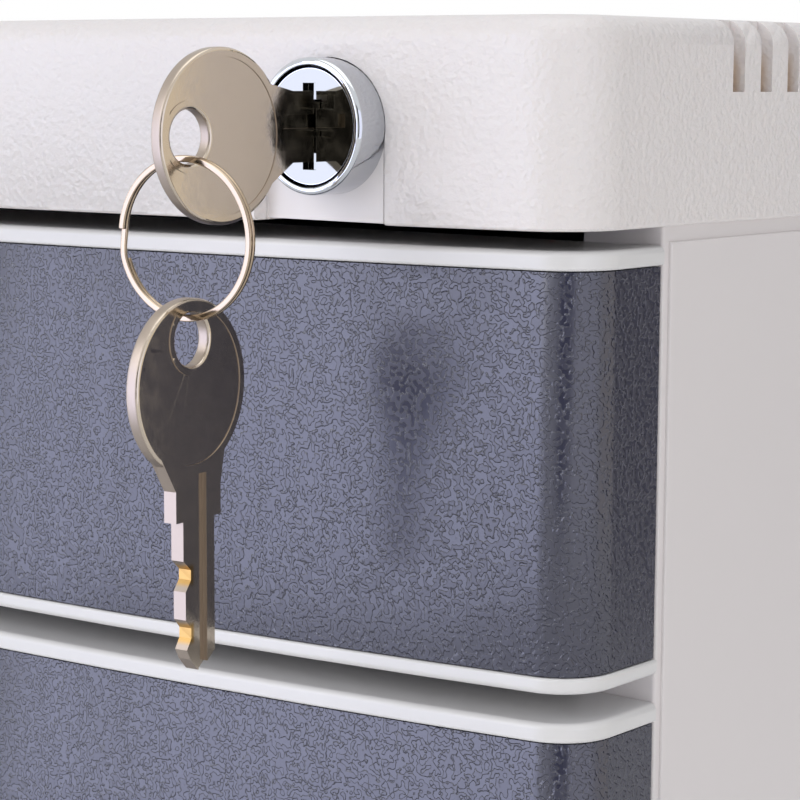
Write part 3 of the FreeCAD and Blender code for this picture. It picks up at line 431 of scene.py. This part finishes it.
def wound_ring():
    """The split ring as it is made: one flattened wire wound twice, crossing over once."""
    bm = bmesh.new()
    bmesh.ops.create_grid(bm, x_segments=1, y_segments=1, size=0.5)
    bmesh.ops.scale(bm, vec=(WIRE_RADIAL, WIRE_AXIAL, 1), verts=bm.verts)
    bmesh.ops.bevel(bm, geom=bm.verts[:], offset=WIRE_ROUNDING, offset_type="OFFSET", segments=4,
                    profile=0.5, affect="VERTICES", material=-1)
    upright = Matrix.Rotation(math.radians(90), 4, "X")
    place = Matrix.Translation((RING_RADIUS, 0, -TURN_SPACING / 2))
    bmesh.ops.transform(bm, matrix=place @ upright, verts=bm.verts)
    turn = 2 * math.pi - CROSSING
    end = carry_wire(bm, bm.faces[:] + bm.edges[:] + bm.verts[:], turn, TURN_STEPS)
    climbed = 0.0
    for step in range(1, CROSSING_STEPS + 1):
        share = step / CROSSING_STEPS
        height = share ** 2 * (3 - 2 * share) * TURN_SPACING
        end = carry_wire(bm, end, CROSSING / CROSSING_STEPS, 1, height - climbed)
        climbed = height
    carry_wire(bm, end, turn, TURN_STEPS)
    caps = [face for face in bm.faces if len(face.verts) > 4]
    bmesh.ops.bevel(bm, geom=[edge for face in caps for edge in face.edges],
                    offset=END_ROUNDING, offset_type="OFFSET", segments=2, profile=0.5,
                    affect="EDGES", material=-1)
    bmesh.ops.recalc_face_normals(bm, faces=bm.faces)
    # it was wound lying flat: it is turned to its ends' place, stood up and swung into its plane
    hung = (Matrix.Translation(RING_CENTRE) @ Matrix.Rotation(RING_TURNED, 4, "Z")
            @ Matrix.Rotation(math.radians(90), 4, "X") @ Matrix.Rotation(END_PLACE, 4, "Z"))
    bmesh.ops.transform(bm, matrix=hung, verts=bm.verts)
    mesh = bpy.data.meshes.new("wound_ring")
    bm.to_mesh(mesh)
    bm.free()
    mesh.shade_smooth()
    mesh.materials.append(RING)
    ring = bpy.data.objects.new("wound_ring", mesh)
    bpy.context.scene.collection.objects.link(ring)
    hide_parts("split_ring")
    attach(ring, "key_ring")


wound_ring()


# ---------------------------------------------------------------- studio
WHITE = (1, 1, 1, 1)
CASING_MIDDLE = (0, 0, 180 * MM)
FLOOR_SIDE = 12
FLOOR_TOP = -0.5 * MM                # just under the feet
FLOOR_FADES = 0.45                   # from here out, it goes over to the backdrop's white
FLOOR_WHITE = 1.3                    # from here out, it is that white


def aimed(centre, target, front):
    """The placing of an item whose front axis points at a target."""
    turn = (Vector(target) - Vector(centre)).to_track_quat(front, "Y")
    return Matrix.Translation(centre) @ turn.to_matrix().to_4x4()


def stage_sheet(name, centre, size, target, material):
    """A flat sheet that isn't part of the drawers, its front turned to a point."""
    sheet = bmesh.new()
    bmesh.ops.create_grid(sheet, x_segments=1, y_segments=1, size=0.5)
    bmesh.ops.scale(sheet, vec=(size[0], size[1], 1.0), verts=sheet.verts)
    mesh = bpy.data.meshes.new(name)
    sheet.to_mesh(mesh)
    sheet.free()
    mesh.materials.append(material)
    item = bpy.data.objects.new(name, mesh)
    bpy.context.scene.collection.objects.link(item)
    item.matrix_world = aimed(centre, target, "Z")
    return item


def shown_rays(holder):
    """One for rays that show the backdrop: the camera's, and those off gloss or through glass."""
    rays = add(holder, "LightPath").outputs
    shown = add(holder, "Math", {0: rays["Is Camera Ray"], 1: rays["Is Glossy Ray"]}, "Value",
                operation="MAXIMUM")
    return add(holder, "Math", {0: shown, 1: rays["Is Transmission Ray"]}, "Value",
               operation="MAXIMUM")


def floor_paint():
    """Matt white paint, which fades to the backdrop's white away from the drawers."""
    m = new_material("Studio floor, white")
    place = add(m, "TexCoord", output="Object")
    away = add(m, "VectorMath", {0: place}, "Value", operation="LENGTH")
    far = soft_mask(m, (away, FLOOR_FADES, FLOOR_WHITE))
    fade = add(m, "Math", {0: far, 1: shown_rays(m)}, "Value", operation="MULTIPLY")
    matt = add(m, "BsdfPrincipled", {"Base Color": linear("#F4F4F4"), "Roughness": 0.9}, "BSDF")
    white = add(m, "Emission", {"Color": WHITE, "Strength": 1.0}, "Emission")
    surface = add(m, "MixShader", {"Fac": fade, 1: matt, 2: white}, "Shader")
    add(m, "OutputMaterial", {"Surface": surface})
    return m


def reflected_card(name, centre, size, target, code, strength):
    """A card that shows only in what mirrors it: it casts no shadow and no soft light."""
    m = new_material(name)
    glow = add(m, "Emission", {"Color": linear(code), "Strength": strength}, "Emission")
    add(m, "OutputMaterial", {"Surface": glow})
    card = stage_sheet(name, centre, size, target, m)
    card.visible_camera = False
    card.visible_shadow = False
    card.visible_diffuse = False


def softbox(name, centre, size, target, power, code="#FFFFFF"):
    """A broad lamp turned to a point, its power in watts."""
    lamp = bpy.data.lights.new(name, "AREA")
    lamp.shape = "RECTANGLE"
    lamp.size, lamp.size_y = size
    lamp.energy = power
    lamp.color = linear(code)[:3]
    item = bpy.data.objects.new(name, lamp)
    bpy.context.scene.collection.objects.link(item)
    item.matrix_world = aimed(centre, target, "-Z")


def white_world():
    """A white backdrop that lights the drawers as a pale grey room would."""
    world = bpy.data.worlds.new("studio")
    world.use_nodes = True
    world.node_tree.nodes.clear()
    seen = add(world, "Background", {"Color": WHITE, "Strength": 1.0}, "Background")
    light = add(world, "Background", {"Color": linear("#F2F4F8"), "Strength": 0.52},
                "Background")
    mix = add(world, "MixShader", {"Fac": shown_rays(world), 1: light, 2: seen}, "Shader")
    add(world, "OutputWorld", {"Surface": mix})
    bpy.context.scene.world = world


white_world()
stage_sheet("floor", (0, 0, FLOOR_TOP), (FLOOR_SIDE, FLOOR_SIDE), (0, 0, 1), floor_paint())
softbox("softbox front left", (-0.5, -1.8, 1.1), (1.3, 1.3), LOCK_POINT, 14.8, "#FAFAFF")
softbox("softbox top", (0.2, -0.1, 1.7), (1.4, 1.4), CASING_MIDDLE, 6.8)
softbox("softbox right low", (1.35, -0.70, 0.30), (0.9, 0.8), LOCK_POINT, 4.8, "#FFFAF4")
# the drawer faces mirror these two, with the spare key dark in front
reflected_card("cool card front left", (-0.145, -0.705, 0.27), (0.47, 0.54),
               (0.10, -0.18, 0.27), "#D2D6F2", 4.1)
reflected_card("bright card far left", (-0.73, -0.52, 0.30), (0.25, 0.6),
               (0.1, -0.18, 0.25), "#E8ECFF", 3.5)
# the faces' round corners and the lock mirror these as bright and dark bands
reflected_card("dark camera side", (1.05, -1.45, 0.45), (0.6, 1.1), LOCK_POINT, "#050505", 1.0)
reflected_card("pale card right", (1.2, -0.46, 0.40), (1.15, 0.8), LOCK_POINT, "#E6E7F6", 1.7)
reflected_card("warm card right", (1.05, 0.50, 0.40), (0.60, 0.8), LOCK_POINT, "#FFF6E8", 1.0)
reflected_card("dark card right rear", (0.376, 0.867, 0.40), (0.98, 0.8), LOCK_POINT,
               "#050505", 1.0)


# ---------------------------------------------------------------- camera
SENSOR_MM = 36
LENS_MM = 108.079
EYE = (SIDE_X + 173.093 * MM, FRONT_Y - 232.216 * MM, COVER_LOW.z + 18.977 * MM)
TURNED_LEFT = 0.690886               # these three in radians
TIPPED_DOWN = 0.132869
ROLLED = 0.004525


def place_camera():
    """Close view of the upper right-hand corner, from the right and a little above."""
    data = bpy.data.cameras.new("camera")
    data.sensor_width = SENSOR_MM
    data.lens = LENS_MM
    data.clip_start = 20 * MM
    data.clip_end = 50
    item = bpy.data.objects.new("camera", data)
    bpy.context.scene.collection.objects.link(item)
    item.matrix_world = (Matrix.Translation(EYE) @ Matrix.Rotation(TURNED_LEFT, 4, "Z")
                         @ Matrix.Rotation(math.radians(90) - TIPPED_DOWN, 4, "X")
                         @ Matrix.Rotation(ROLLED, 4, "Z"))
    bpy.context.scene.camera = item


place_camera()
bpy.context.scene.view_settings.view_transform = "Standard"
